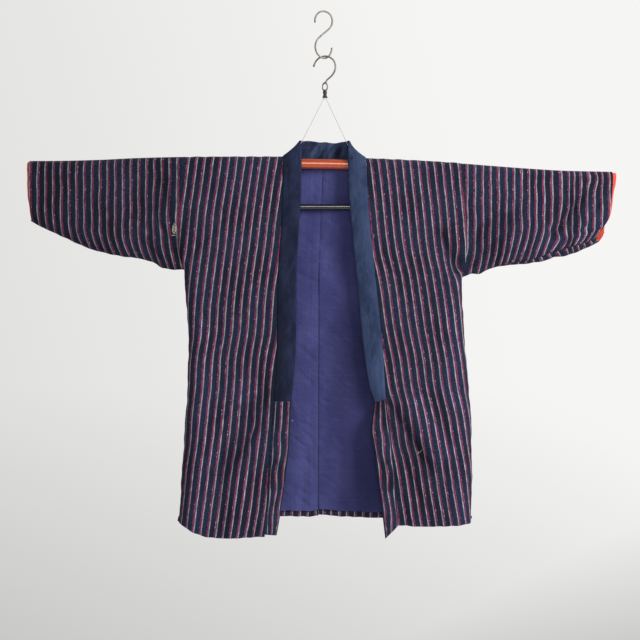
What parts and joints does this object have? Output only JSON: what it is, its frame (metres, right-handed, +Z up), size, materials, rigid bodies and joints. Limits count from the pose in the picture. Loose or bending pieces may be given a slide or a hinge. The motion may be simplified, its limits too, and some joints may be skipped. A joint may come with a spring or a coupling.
{
  "type": "hanten jacket on a pole hanger",
  "caption": "Lined, striped hanten jacket with an open front and a plain over-collar, hung flat on a pole hanger with a hook.",
  "frame": {"origin": "the top of the opening under the S hook's upper bend, where it rests on a rod or ring", "axes": "+X to the right as seen from the front, along the sleeves; +Y to the back of the garment; +Z up"},
  "size_m": [1.2369, 0.0547, 1.1055],
  "materials": {
    "striped_cotton": "dark blue cotton with narrow grey-white and crimson stripes, soft and matte",
    "navy_cotton": "plain navy cotton, matte",
    "purple_cotton": "plain purple-blue cotton lining, matte",
    "red_cotton": "vermilion cotton lining, matte",
    "lacquered_wood": "orange-brown gloss lacquer",
    "black_lacquer": "gloss black",
    "clear_cord": "clear nylon line",
    "black_bead": "gloss black",
    "steel_wire": "bright steel wire"
  },
  "bodies": {
    "root": {"body_right": "striped_cotton", "body_left": "striped_cotton", "sleeve_right": "striped_cotton", "sleeve_left": "striped_cotton", "collar_tail_right": "striped_cotton", "collar_tail_left": "striped_cotton", "over_collar": "navy_cotton", "back_lining_right": "purple_cotton", "back_lining_left": "purple_cotton", "cuff_lining_right": "red_cotton", "cuff_lining_left": "red_cotton", "pole": "lacquered_wood", "lower_bar": "black_lacquer", "upper_cord_right": "clear_cord", "upper_cord_left": "clear_cord", "lower_cord_right": "clear_cord", "lower_cord_left": "clear_cord", "bead": "black_bead", "hanger_hook": "steel_wire", "s_hook": "steel_wire"}
  },
  "joints": []
}
